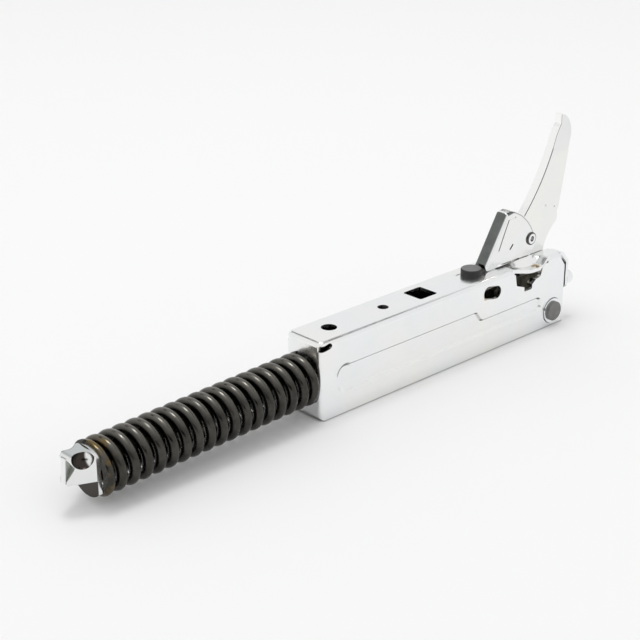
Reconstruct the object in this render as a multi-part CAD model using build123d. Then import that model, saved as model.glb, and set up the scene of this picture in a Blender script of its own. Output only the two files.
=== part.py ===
from build123d import *
import math
import os

# Oven door hinge: a sheet steel channel with a coil spring on a pull rod at its
# left end and a hook arm with a latch at its right end.
# X runs along the channel from its closed end face, Y across it, Z up from its
# two bottom edges. The middle plane is Y = 0. All sizes are in millimetres.
# The finished pieces are moved along X, so that the origin is under the middle
# of the whole object.

# Channel
channel_height = 38.0
channel_width = 23.1
wall_end_x = 170.6
sheet = 1.8
web_bend = 2.5
corner_bend = 3.0
inner_bend = 0.7
foot_corner = 3.0
cut_past = 0.6

# Pivot of the arm, from the channel's right end
pivot_from_end = 8.6
pivot_z = 8.1
pivot_pin_diameter = 7.9
pivot_running_gap = 0.05
pivot_head_diameter = 10.05
pivot_head_height = 1.4
pivot_washer_diameter = 13.0
pivot_washer_thickness = 0.8
bush_diameter = 10.0
spacer_diameter = 10.8
side_gap = 0.15
pin_edge = 0.3

# Slot in the web for the arm, from the pivot to its left end
arm_slot_from_pivot = 40.5
arm_slot_play = 0.4

# Holes in the web, given by their place from the closed end or from the bumper
round_hole_x = 16.0
round_hole_diameter = 7.35
drawn_hole_x = 50.5
drawn_hole_diameter = 5.3
drawn_hole_collar = 1.5
drawn_hole_collar_wall = 1.0
square_hole_x = 75.6
square_hole_side = 11.65
square_hole_corner = 1.2
slit_from_bumper = 5.5
slit_y = 3.65
slit_length = 3.0
slit_width = 0.7

# Long recess pressed into each side wall, with sloping sides
recess_depth = 1.0
recess_left_x = 10.4
recess_right_from_end = 17.6
recess_bottom_z = 10.4
recess_height = 13.2
recess_low_height = 8.0
recess_step_from_end = 67.0
recess_step_run = 4.1
recess_left_corner = 4.5
recess_right_corner = 3.7
recess_step_corner = 2.2

# Oval sight hole in each side wall, from the slot and the web
oval_hole_from_slot = 6.75
oval_hole_drop = 7.4
oval_hole_length = 12.7
oval_hole_height = 6.6
oval_hole_slant = 10.9

# Dished screw seat beside the arm slot, from the slot's left end
seat_from_slot = 9.5
seat_slope_run = 13.0
seat_floor_run = 8.6
seat_rise_run = 4.6
seat_drop = 3.5
seat_tilt = 0.3
seat_inner_y = 3.2
seat_floor_y = 6.5
seat_edge_inset = 0.35
seat_hole_place = 19.2
seat_hole_y = 8.7
seat_hole_diameter = 3.8
seat_bends = (6.0, 25.0, 5.0, 2.0)

# Cut-out in the wall under the seat, from the seat's left end and the web
cutout_left = 0.5
cutout_shoulder = 2.1
cutout_shoulder_drop = 9.0
cutout_drop = 11.2
cutout_notch_left = 8.1
cutout_notch_width = 6.0
cutout_notch_depth = 2.4
cutout_notch_corner = 0.8
cutout_knee = 17.1
cutout_knee_drop = 9.2
cutout_right = 20.4
cutout_right_drop = 8.6
cutout_end = 21.9
cutout_end_drop = 4.6
cutout_corner = 1.2

# Relief hole at each upper corner of the closed end
relief_x = 3.2
relief_drop = 2.9
relief_length = 7.4
relief_height = 2.7
relief_slant = 8.0

# Slot in the closed end for the pull rod
rod_slot_side_play = 0.5
rod_slot_end_play = 0.6

# Tabs bent down from the web in front of the wall ends
tab_gap = 1.6
tab_outer_y = 11.2
tab_inner_y = 4.5
tab_slope_run = 3.7
tab_slope_drop = 4.6
tab_inner_corner = 1.2
tab_corner = 3.0
tab_foot_corner = 2.2
tab_below_nut = 4.4
wall_corner_top = 1.3
wall_corner_gap = 1.0

# Threaded nut pressed into the near tab
nut_diameter = 7.2
nut_length = 4.9
nut_y = -7.9
nut_drop = 16.4
nut_thread_hole = 4.2
nut_edge = 1.0

# Rubber bumper on the web, beside the latch's tip
bumper_from_latch = 1.4
bumper_diameter = 10.4
bumper_height = 3.2
bumper_stem = 4.6
bumper_stem_play = 0.1
bumper_bulb = 6.4
bumper_bulb_height = 2.6
bumper_edge = 0.8

# Hook arm, outlined in hundredths of its height above the pivot
arm_thickness = 5.0
arm_height = 98.4
pivot_lobe_radius = 7.3
drive_lobe_radius = 6.4
coin_depth = 0.25
dent_radius = 0.9
dent_depth = 0.35

# Drive pin, on a circle around the pivot
drive_radius = 15.0
drive_angle = 127.0
drive_pin_diameter = 5.0
open_angle = 78.0

# Spring
spring_outer_diameter = 25.2
spring_wire = 4.8
spring_below_middle = 0.65
spring_slope = 0.026
spring_right_x = -0.2
spring_length = 115.7
spring_ground = 3.4
spring_turns = 18.23
spring_end_pitch = 5.4
spring_start_angle = 70.0

# Pull rod, above the spring's axis
rod_above_axis = 3.85
rod_thickness = 3.0
rod_height = 7.0
rod_past_rivet = 3.2
rod_head_length = 4.5
rod_head_height = 11.6
rod_head_lean = 0.8
rod_head_corner = 1.2

# Fork plates
fork_gap = 0.1
fork_thickness = 1.5
fork_left_margin = 5.0
fork_rivet_spacing = 14.2
fork_rivet_to_pin = 24.8
fork_neck_margin = 3.3
fork_head_run = 13.5
fork_neck_to_head = 8.5
fork_wall = 3.0
fork_under_play = 0.4
fork_corner = 3.0
fork_slot_play = 0.55
fork_slot_shift = 0.08
fork_slot_end_play = 0.3
fork_rivet_diameter = 4.0
fork_rivet_play = 0.05
fork_rivet_head_diameter = 6.4
fork_rivet_head_height = 1.0
fork_spacer_diameter = 7.2

# Spring cap
cap_flange_gap = 0.1
cap_flange_thickness = 1.8
cap_flange_radius = 11.2
cap_half_width = 7.7
cap_crown = 0.4
cap_body_inset = 0.3
cap_body_length = 10.8
cap_body_height = 12.7
cap_body_above_axis = 4.35
cap_nose_round = 3.5
cap_nose_half_width = 2.6
cap_slot_play = 0.5
cap_head_play = 0.1
cap_head_depth = 4.2
cap_notch_depth = 3.0
cap_notch_rise = 0.9
cap_notch_up = 4.6
cap_notch_down = 5.8
cap_scoop_radius = 5.0
cap_scoop_depth = 2.8
cap_scoop_place = 4.7
cap_scoop_rise = 4.6

# Latch, outlined in hundredths of its length from its pivot
latch_sheet = 1.1
latch_half_width = 3.8
latch_bend = 2.0
latch_corner = 1.2
latch_length = 33.6
latch_from_pivot = 10.0
latch_above_web = 9.3
latch_lift = 0.4
latch_toe = 7.8
latch_arch = 1.0
latch_rivet_diameter = 4.5
latch_rivet_bore = 2.8
latch_running_gap = 0.08
latch_rivet_head_diameter = 6.6
latch_rivet_head_height = 0.7
latch_mark_length = 3.3
latch_mark_width = 0.9
latch_mark_slant = 45.0
latch_groove_width = 0.7
latch_groove_depth = 0.25

# Sizes worked out from the ones above
half_width = channel_width / 2
inner_half = half_width - sheet
web_under_z = channel_height - sheet
tab_inner_x = wall_end_x + tab_gap
tab_outer_x = tab_inner_x + sheet
pivot_x = wall_end_x - pivot_from_end
arm_slot_start_x = pivot_x - arm_slot_from_pivot
recess_right_x = wall_end_x - recess_right_from_end
recess_step_x = wall_end_x - recess_step_from_end
recess_top_z = recess_bottom_z + recess_height
recess_low_top_z = recess_bottom_z + recess_low_height
recess_rim = sheet * math.tan(math.radians(22.5))
relief_z = channel_height - relief_drop
oval_hole_x = arm_slot_start_x - oval_hole_from_slot
oval_hole_z = channel_height - oval_hole_drop
seat_start_x = arm_slot_start_x + seat_from_slot
seat_hole_x = seat_start_x + seat_hole_place
seat_floor_x = seat_start_x + seat_slope_run
seat_rise_x = seat_floor_x + seat_floor_run
seat_end_x = seat_rise_x + seat_rise_run
nut_z = channel_height - nut_drop
tab_bottom_z = nut_z - tab_below_nut
tab_slope_x = tab_inner_x - tab_slope_run
wall_corner_x = tab_slope_x - wall_corner_top
arm_half = arm_thickness / 2
arm_slot_half = arm_half + arm_slot_play
fork_inner_y = arm_half + fork_gap
fork_outer_y = fork_inner_y + fork_thickness
drive_x = pivot_x + drive_radius * math.cos(math.radians(drive_angle))
drive_z = pivot_z + drive_radius * math.sin(math.radians(drive_angle))
drive_open_angle = drive_angle - open_angle
drive_open_x = pivot_x + drive_radius * math.cos(math.radians(drive_open_angle))
drive_open_z = pivot_z + drive_radius * math.sin(math.radians(drive_open_angle))
drive_peak_z = pivot_z + drive_radius
rod_travel = drive_open_x - drive_x
spring_radius = (spring_outer_diameter - spring_wire) / 2
spring_left_x = spring_right_x - spring_length
spring_axis_z = channel_height / 2 - spring_below_middle
rod_line_z = spring_axis_z + rod_above_axis
fork_rivet_xs = (drive_x - fork_rivet_to_pin - fork_rivet_spacing, drive_x - fork_rivet_to_pin)
rod_right_x = fork_rivet_xs[1] + rod_past_rivet
fork_rivet_hole = fork_rivet_diameter + 2 * fork_rivet_play
fork_left_x = fork_rivet_xs[0] - fork_left_margin
fork_head_x = drive_x - fork_neck_to_head
fork_neck_x = fork_head_x - fork_head_run
fork_bottom_z = pivot_z + spacer_diameter / 2 + fork_under_play
cap_flange_x = spring_left_x - cap_flange_gap
cap_face_x = cap_flange_x - cap_flange_thickness
cap_nose_x = cap_face_x - cap_body_length
cap_side_half = cap_half_width - cap_body_inset
cap_taper = math.atan2(cap_side_half - cap_nose_half_width, cap_body_length)
rod_head_right_x = cap_nose_x + cap_head_depth
rod_head_left_x = rod_head_right_x - rod_head_length
latch_inner_y = latch_half_width - latch_sheet
latch_pivot_x = pivot_x - latch_from_pivot
latch_pivot_z = channel_height + latch_above_web
latch_tip_x = latch_pivot_x - latch_length
bumper_x = latch_tip_x - bumper_from_latch - bumper_diameter / 2
slit_x = bumper_x - slit_from_bumper


def flat(points):
    """Face in the middle plane, from (x, z) points."""
    return make_face(Plane.XZ * Polyline(*points, close=True))


def round_corners(face, places, radius):
    """Round the corners of a flat face that lie at the given (x, z) places."""
    chosen = []
    for x, z in places:
        chosen.append(min(face.vertices(), key=lambda v: math.hypot(v.X - x, v.Z - z)))
    return fillet(chosen, radius)


def plate(face, y_from, y_to):
    """Plate between two Y values, from a face in the middle plane."""
    return extrude(Pos(0, y_from, 0) * face, amount=y_to - y_from, dir=(0, 1, 0))


def block(x_from, x_to, y_from, y_to, z_from, z_to):
    """Box given by its two ends along each axis."""
    size = (x_to - x_from, y_to - y_from, z_to - z_from)
    return Pos(x_from, y_from, z_from) * Box(*size, align=(Align.MIN, Align.MIN, Align.MIN))


def rod_along_y(x, z, diameter, y_from, y_to):
    """Round bar along Y."""
    bar = Cylinder(diameter / 2, y_to - y_from, align=(Align.CENTER, Align.CENTER, Align.MIN))
    return Pos(x, y_from, z) * Rot(-90, 0, 0) * bar


def rod_along_x(y, z, diameter, x_from, x_to):
    """Round bar along X."""
    bar = Cylinder(diameter / 2, x_to - x_from, align=(Align.CENTER, Align.CENTER, Align.MIN))
    return Pos(x_from, y, z) * Rot(0, 90, 0) * bar


def rod_along_z(x, y, diameter, z_from, z_to):
    """Round bar along Z."""
    bar = Cylinder(diameter / 2, z_to - z_from, align=(Align.CENTER, Align.CENTER, Align.MIN))
    return Pos(x, y, z_from) * bar


def rod_line(x):
    """Height of the pull rod's middle line at x."""
    return rod_line_z + spring_slope * x


def spring_line(x):
    """Height of the spring's axis at x."""
    return spring_axis_z + spring_slope * x


def both_sides(solid):
    """The solid and its mirror image across the middle plane."""
    return solid + mirror(solid, about=Plane.XZ)


def recess_face(grow):
    """Outline of the recess in a side wall, grown outwards by the given amount."""
    left = recess_left_x - grow
    right = recess_right_x + grow
    low = recess_bottom_z - grow
    low_top = recess_low_top_z + grow
    top = recess_top_z + grow
    step_slope = math.atan2(recess_top_z - recess_low_top_z, recess_step_run)
    step_top = recess_step_x + grow * math.tan(step_slope / 2)
    step_low = step_top + recess_step_run
    face = flat([
        (left, low),
        (right, low),
        (right, low_top),
        (step_low, low_top),
        (step_top, top),
        (left, top),
    ])
    face = round_corners(face, [(left, low), (left, top)], recess_left_corner + grow)
    face = round_corners(face, [(right, low), (right, low_top)], recess_right_corner + grow)
    face = round_corners(face, [(step_top, top)], recess_step_corner + grow)
    return round_corners(face, [(step_low, low_top)], recess_step_corner - grow)


def pressing(wall_y, grow):
    """The recess from one face of the near wall inwards, with sides at 45 degrees."""
    lead = 0.2
    wide = Pos(0, -wall_y - lead, 0) * recess_face(grow + lead)
    narrow = Pos(0, -wall_y + recess_depth, 0) * recess_face(grow - recess_depth)
    return loft([wide, narrow], ruled=True)


def channel_shell():
    """Channel with its closed left end, without holes."""
    outside = block(0, wall_end_x, -half_width, half_width, 0, channel_height)
    upright_edges = outside.edges().filter_by(Axis.Z).group_by(Axis.X)[0]
    outside = fillet(upright_edges, corner_bend)
    top_edges = outside.edges().group_by(Axis.Z)[-1].sort_by(Axis.X)[:-1]
    outside = fillet(top_edges, web_bend)
    inside = block(sheet, wall_end_x + 1, -inner_half, inner_half, -1, web_under_z)
    inner_edges = inside.edges().filter_by(Axis.X).group_by(Axis.Z)[-1]
    inside = fillet(inner_edges, inner_bend)
    shell = outside - inside
    foot = block(-1, foot_corner, -half_width - 1, half_width + 1, -1, foot_corner)
    foot -= rod_along_y(foot_corner, foot_corner, 2 * foot_corner, -half_width - 1, half_width + 1)
    return shell - foot


def arm_slot():
    """Slot through the web for the arm, open at the right end."""
    low = web_under_z - sheet
    return block(arm_slot_start_x, tab_outer_x + 1, -arm_slot_half, arm_slot_half, low, channel_height + 1)


def end_tab():
    """Tab on the near side: the web slopes down past the wall end and stands upright."""
    slope = math.atan2(tab_slope_drop, tab_slope_run)
    outer_slope_x = tab_slope_x + sheet * math.tan(slope / 2)
    inner_low_z = web_under_z - tab_slope_drop
    outer_low_z = inner_low_z + sheet * math.tan(math.pi / 4 - slope / 2)
    face = flat([
        (wall_corner_x, channel_height),
        (outer_slope_x, channel_height),
        (tab_outer_x, outer_low_z),
        (tab_outer_x, tab_bottom_z),
        (tab_inner_x, tab_bottom_z),
        (tab_inner_x, inner_low_z),
        (tab_slope_x, web_under_z),
        (wall_corner_x, web_under_z),
    ])
    face = round_corners(face, [(outer_slope_x, channel_height), (tab_outer_x, outer_low_z)], tab_corner)
    face = round_corners(face, [(tab_slope_x, web_under_z), (tab_inner_x, inner_low_z)], tab_inner_corner)
    tab = plate(face, -tab_outer_y, -tab_inner_y)
    return fillet(tab.edges().filter_by(Axis.X).group_by(Axis.Z)[0], tab_foot_corner)


def screw_seat():
    """Dished strip of the web on the near side, with its screw hole and its sloping inner side."""
    floor_z = channel_height - seat_drop
    rise_z = floor_z - seat_tilt
    bends = [
        (seat_start_x, channel_height),
        (seat_floor_x, floor_z),
        (seat_rise_x, rise_z),
        (seat_end_x, channel_height),
    ]
    top = [(seat_start_x - 1, channel_height)] + bends + [(seat_end_x + 1, channel_height)]
    under = [(x, z - sheet) for x, z in reversed(top)]
    face = flat(top + under)
    for (x, z), radius in zip(bends, seat_bends):
        face = round_corners(face, [(x, z), (x, z - sheet)], radius)
    strip = plate(face, -half_width + seat_edge_inset, -seat_floor_y)
    level = [(x, channel_height) for x, z in top] + [(x, web_under_z) for x, z in under]
    outer = Pos(0, -seat_floor_y, 0) * flat(top + under)
    inner = Pos(0, -seat_inner_y, 0) * flat(level)
    strip += loft([outer, inner], ruled=True)
    return strip - rod_along_z(seat_hole_x, -seat_hole_y, seat_hole_diameter, 0, channel_height + 1)


def seat_cutout():
    """Opening in the near wall and web that the screw seat lies in."""
    low = web_under_z - 1
    web_part = block(seat_start_x, seat_end_x, -half_width - 1, -seat_inner_y, low, channel_height + 1)
    top = channel_height
    bottom = top - cutout_drop
    notch_left = seat_start_x + cutout_notch_left
    notch_right = notch_left + cutout_notch_width
    notch_bottom = bottom - cutout_notch_depth
    shoulder = (seat_start_x + cutout_shoulder, top - cutout_shoulder_drop)
    knee = (seat_start_x + cutout_knee, top - cutout_knee_drop)
    right = (seat_start_x + cutout_right, top - cutout_right_drop)
    face = flat([
        (seat_start_x + cutout_left, top + 1),
        (seat_start_x + cutout_left, top - 1),
        shoulder,
        (notch_left, bottom),
        (notch_left, notch_bottom),
        (notch_right, notch_bottom),
        (notch_right, bottom),
        knee,
        right,
        (seat_start_x + cutout_end, top - cutout_end_drop),
        (seat_end_x, top - sheet / 2),
        (seat_end_x, top + 1),
    ])
    face = round_corners(face, [shoulder, knee, right], cutout_corner)
    face = round_corners(face, [(notch_left, notch_bottom), (notch_right, notch_bottom)], cutout_notch_corner)
    return web_part + plate(face, -half_width - 1, -inner_half + cut_past)


def wall_end_cuts():
    """What is cut off the near half of the channel at its upper right end, behind the tab."""
    low_z = web_under_z - tab_slope_drop
    face = flat([
        (wall_corner_x, channel_height + 1),
        (wall_corner_x, web_under_z - wall_corner_gap),
        (wall_end_x, low_z - wall_corner_gap),
        (wall_end_x + 1, low_z - wall_corner_gap),
        (wall_end_x + 1, channel_height + 1),
    ])
    return plate(face, -half_width - 1, 0)


def housing():
    shell = channel_shell()
    shell -= both_sides(seat_cutout())
    shell -= both_sides(wall_end_cuts())
    shell += both_sides(pressing(inner_half, recess_rim))
    shell -= both_sides(pressing(half_width, 0))
    shell += both_sides(screw_seat())
    shell += both_sides(end_tab())
    shell -= arm_slot()
    shell -= rod_along_z(round_hole_x, 0, round_hole_diameter, web_under_z - 1, channel_height + 1)
    collar_diameter = drawn_hole_diameter + 2 * drawn_hole_collar_wall
    shell += rod_along_z(drawn_hole_x, 0, collar_diameter, web_under_z - drawn_hole_collar, channel_height)
    collar_low_z = web_under_z - drawn_hole_collar
    shell -= rod_along_z(drawn_hole_x, 0, drawn_hole_diameter, collar_low_z - 1, channel_height + 1)
    square = Rectangle(square_hole_side, square_hole_side)
    square = fillet(square.vertices(), square_hole_corner)
    shell -= Pos(square_hole_x, 0, web_under_z - 1) * extrude(square, amount=sheet + 2)
    shell -= Pos(slit_x, slit_y, channel_height) * Box(slit_length, slit_width, 3 * sheet)
    shell -= rod_along_z(bumper_x, 0, bumper_stem + 2 * bumper_stem_play, web_under_z - 1, channel_height + 1)
    oval = Plane.XZ * Pos(oval_hole_x, oval_hole_z) * Rot(0, 0, -oval_hole_slant) * SlotOverall(
        oval_hole_length, oval_hole_height
    )
    shell -= both_sides(plate(oval, -half_width - 1, -inner_half + cut_past))
    relief = Plane.XZ * Pos(relief_x, relief_z) * Rot(0, 0, relief_slant) * SlotOverall(
        relief_length, relief_height
    )
    shell -= both_sides(plate(relief, -half_width - 1, -inner_half + cut_past))
    slot_half = rod_thickness / 2 + rod_slot_side_play
    slot_low = rod_line(-rod_travel) - rod_height / 2 - rod_slot_end_play
    slot_high = rod_line(sheet) + rod_height / 2 + rod_slot_end_play
    shell -= block(-1, sheet + 0.5, -slot_half, slot_half, slot_low, slot_high)
    shell -= rod_along_y(pivot_x, pivot_z, pivot_pin_diameter, -half_width - 1, half_width + 1)
    shell -= rod_along_x(nut_y, nut_z, nut_thread_hole, tab_inner_x - 0.2, tab_outer_x + 1)
    return shell


def end_nut():
    nut = rod_along_x(nut_y, nut_z, nut_diameter, tab_outer_x, tab_outer_x + nut_length)
    nut = fillet(nut.edges().group_by(Axis.X)[-1], nut_edge)
    return nut - rod_along_x(nut_y, nut_z, nut_thread_hole, tab_outer_x - 1, tab_outer_x + nut_length + 1)


def rubber_bumper():
    head = rod_along_z(bumper_x, 0, bumper_diameter, channel_height, channel_height + bumper_height)
    head = fillet(head.edges().group_by(Axis.Z)[-1], bumper_edge)
    stem = rod_along_z(bumper_x, 0, bumper_stem, web_under_z - 0.1, channel_height)
    bulb = Cone(bumper_stem / 2 - 0.4, bumper_bulb / 2, bumper_bulb_height)
    bulb = Pos(bumper_x, 0, web_under_z - bumper_bulb_height / 2) * bulb
    return head + stem + bulb


def pivot_pin():
    end_y = half_width + pivot_washer_thickness + pivot_head_height
    pin = rod_along_y(pivot_x, pivot_z, pivot_pin_diameter, -end_y, end_y)
    for side in (-1, 1):
        near = side * (half_width + pivot_washer_thickness)
        far = side * end_y
        head = rod_along_y(pivot_x, pivot_z, pivot_head_diameter, min(near, far), max(near, far))
        rim = head.edges().filter_by(GeomType.CIRCLE).sort_by(Axis.Y)[0 if side < 0 else -1]
        pin += chamfer(rim, pin_edge)
    return pin


def ring_along_y(x, z, outer, inner, y_from, y_to):
    """Flat ring or tube along Y."""
    ring = rod_along_y(x, z, outer, y_from, y_to)
    return ring - rod_along_y(x, z, inner, y_from - 1, y_to + 1)


def pivot_washer(side):
    near = side * half_width
    far = side * (half_width + pivot_washer_thickness)
    return ring_along_y(
        pivot_x, pivot_z, pivot_washer_diameter, pivot_pin_diameter, min(near, far), max(near, far)
    )


def pivot_spacer(side):
    near = side * (arm_half + side_gap)
    far = side * inner_half
    return ring_along_y(pivot_x, pivot_z, spacer_diameter, pivot_pin_diameter, min(near, far), max(near, far))


def arm_bush():
    bore = pivot_pin_diameter + 2 * pivot_running_gap
    return ring_along_y(pivot_x, pivot_z, bush_diameter, bore, -arm_half, arm_half)


def arm_point(across, up):
    """Place on the arm, in hundredths of its height from the pivot."""
    return (pivot_x + across * arm_height / 100, pivot_z + up * arm_height / 100)


def lobe_point(x, z, radius, degrees):
    """Place on the round of a lobe."""
    turn = math.radians(degrees)
    return (x + radius * math.cos(turn), z + radius * math.sin(turn))


def arm_outline():
    """Side view of the arm: straight and round stretches, from its tip round to the lobes."""
    tip = arm_point(11.79, 100)
    step_top = arm_point(11.89, 95.02)
    step_low = arm_point(10.77, 93.60)
    back_top = arm_point(8.33, 89.33)
    back_mid = arm_point(-0.41, 70.73)
    back_low = arm_point(-13.52, 53.15)
    back_end = arm_point(-17.78, 48.17)
    throat = arm_point(-17.78, 32.42)
    left_lobe = lobe_point(drive_x, drive_z, drive_lobe_radius, 180)
    drive_bulge = lobe_point(drive_x, drive_z, drive_lobe_radius, 197)
    low_drive = lobe_point(drive_x, drive_z, drive_lobe_radius, 215)
    left_pivot = lobe_point(pivot_x, pivot_z, pivot_lobe_radius, 208)
    low_pivot = lobe_point(pivot_x, pivot_z, pivot_lobe_radius, 270)
    right_pivot = lobe_point(pivot_x, pivot_z, pivot_lobe_radius, 8)
    front_low = arm_point(1.83, 31.61)
    front_bend = arm_point(6.50, 39.94)
    front_top_bend = arm_point(11.28, 44.21)
    nib_low = arm_point(12.09, 46.75)
    nib_top = arm_point(11.38, 48.58)
    front_mid = arm_point(12.70, 51.83)
    front_top = arm_point(18.29, 79.98)
    nose = arm_point(20.02, 88.11)
    nose_bulge = arm_point(18.90, 94.41)
    nose_top = arm_point(14.13, 99.59)
    path = Plane.XZ * (
        Line(tip, step_top)
        + Line(step_top, step_low)
        + Line(step_low, back_top)
        + ThreePointArc(back_top, back_mid, back_low)
        + Line(back_low, back_end)
        + Line(back_end, throat)
        + Line(throat, left_lobe)
        + ThreePointArc(left_lobe, drive_bulge, low_drive)
        + Line(low_drive, left_pivot)
        + ThreePointArc(left_pivot, low_pivot, right_pivot)
        + Line(right_pivot, front_low)
        + ThreePointArc(front_low, front_bend, front_top_bend)
        + Line(front_top_bend, nib_low)
        + Line(nib_low, nib_top)
        + Line(nib_top, front_mid)
        + Line(front_mid, front_top)
        + Line(front_top, nose)
        + ThreePointArc(nose, nose_bulge, nose_top)
        + Line(nose_top, tip)
    )
    return make_face(path)


def hook_arm():
    arm = plate(arm_outline(), -arm_half, arm_half)
    coin = flat([
        arm_point(6.10, 83.23),
        arm_point(19.31, 80.08),
        arm_point(23.37, 103.56),
        arm_point(3.05, 103.56),
    ])
    arm -= both_sides(plate(coin, -arm_half - 1, -arm_half + coin_depth))
    for x, z in (arm_point(1.83, 54.27), arm_point(9.04, 52.24)):
        ball = Pos(x, -arm_half - dent_radius + dent_depth, z) * Sphere(dent_radius)
        arm -= both_sides(ball)
    arm -= rod_along_y(pivot_x, pivot_z, bush_diameter, -arm_thickness, arm_thickness)
    arm -= rod_along_y(drive_x, drive_z, drive_pin_diameter, -arm_thickness, arm_thickness)
    arm -= rod_along_y(latch_pivot_x, latch_pivot_z, latch_rivet_diameter, -arm_thickness, arm_thickness)
    return arm


def drive_pin():
    pin = rod_along_y(drive_x, drive_z, drive_pin_diameter, -fork_outer_y, fork_outer_y)
    return chamfer(pin.edges().filter_by(GeomType.CIRCLE), pin_edge)


def fork_face():
    """Side view of a fork plate, with its upright slot."""
    slot_x = drive_x + fork_slot_shift
    slot_half = drive_pin_diameter / 2 + fork_slot_play
    slot_low = drive_open_z - drive_pin_diameter / 2 - fork_slot_end_play
    slot_high = drive_peak_z + drive_pin_diameter / 2 + fork_slot_end_play
    right = slot_x + slot_half + fork_wall
    left_low = (fork_left_x, rod_line(fork_left_x) - fork_neck_margin)
    left_high = (fork_left_x, rod_line(fork_left_x) + fork_neck_margin)
    neck_low = (fork_neck_x, rod_line(fork_neck_x) - fork_neck_margin)
    neck_high = (fork_neck_x, rod_line(fork_neck_x) + fork_neck_margin)
    head_low = (fork_head_x, fork_bottom_z)
    head_high = (fork_head_x, slot_high + fork_wall)
    right_low = (right, fork_bottom_z)
    right_high = (right, slot_high + fork_wall)
    face = flat([left_low, neck_low, head_low, right_low, right_high, head_high, neck_high, left_high])
    face = round_corners(face, [left_low, left_high, neck_low, head_low, right_low, right_high], fork_corner)
    slot = SlotOverall(slot_high - slot_low, 2 * slot_half)
    return face - Plane.XZ * Pos(slot_x, (slot_low + slot_high) / 2) * Rot(0, 0, 90) * slot


def fork_plate(side):
    near = side * fork_inner_y
    far = side * fork_outer_y
    fork = plate(fork_face(), min(near, far), max(near, far))
    for x in fork_rivet_xs:
        fork -= rod_along_y(x, rod_line(x), fork_rivet_hole, -half_width, half_width)
    return fork


def fork_rivets():
    """Two rivets, each a shank with a flat round head at both ends."""
    end_y = fork_outer_y + fork_rivet_head_height
    rivets = []
    for x in fork_rivet_xs:
        z = rod_line(x)
        rivet = rod_along_y(x, z, fork_rivet_diameter, -end_y, end_y)
        for side in (-1, 1):
            near = side * fork_outer_y
            far = side * end_y
            head = rod_along_y(x, z, fork_rivet_head_diameter, min(near, far), max(near, far))
            rim = head.edges().filter_by(GeomType.CIRCLE).sort_by(Axis.Y)[0 if side < 0 else -1]
            rivet += chamfer(rim, pin_edge)
        rivets.append(rivet)
    return Compound([rivet.solid() for rivet in rivets])


def fork_spacers():
    """Four rings that fill the gap between the rod and the fork plates."""
    rings = []
    for x in fork_rivet_xs:
        for side in (-1, 1):
            near = side * rod_thickness / 2
            far = side * fork_inner_y
            ring = ring_along_y(
                x, rod_line(x), fork_spacer_diameter, fork_rivet_hole, min(near, far), max(near, far)
            )
            rings.append(ring)
    return Compound([ring.solid() for ring in rings])


def pull_rod():
    """Flat bar on a slight slope, with a tall head at its left end."""
    half = rod_height / 2
    bar = flat([
        (rod_head_right_x - 1, rod_line(rod_head_right_x - 1) - half),
        (rod_right_x, rod_line(rod_right_x) - half),
        (rod_right_x, rod_line(rod_right_x) + half),
        (rod_head_right_x - 1, rod_line(rod_head_right_x - 1) + half),
    ])
    rod = plate(bar, -rod_thickness / 2, rod_thickness / 2)
    for x in fork_rivet_xs:
        rod -= rod_along_y(x, rod_line(x), fork_rivet_hole, -rod_thickness, rod_thickness)
    middle = rod_line((rod_head_left_x + rod_head_right_x) / 2)
    low = middle - rod_head_height / 2
    high = middle + rod_head_height / 2
    head = flat([
        (rod_head_left_x, low),
        (rod_head_right_x, low),
        (rod_head_right_x, high),
        (rod_head_left_x + rod_head_lean, high),
    ])
    left_corners = [(rod_head_left_x, low), (rod_head_left_x + rod_head_lean, high)]
    head = round_corners(head, left_corners, rod_head_corner)
    return rod + plate(head, -rod_thickness / 2, rod_thickness / 2)


def cap_flange():
    """Round flange with two flat sides."""
    centre = spring_line(cap_flange_x)
    x_from = cap_flange_x - cap_flange_thickness
    disc = rod_along_x(0, centre, 2 * cap_flange_radius, x_from, cap_flange_x)
    return disc & block(x_from, cap_flange_x, -cap_half_width, cap_half_width, 0, channel_height)


def cap_scoop():
    """Hollow pressed into the upper edge of the cap's near side: part of a ball."""
    side_y = cap_side_half - cap_scoop_place * math.tan(cap_taper)
    out = cap_scoop_radius - cap_scoop_depth
    x = cap_face_x - cap_scoop_place - out * math.sin(cap_taper)
    z = spring_line(cap_flange_x) + cap_body_above_axis + cap_scoop_rise
    return Pos(x, -side_y - out * math.cos(cap_taper), z) * Sphere(cap_scoop_radius)


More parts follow.
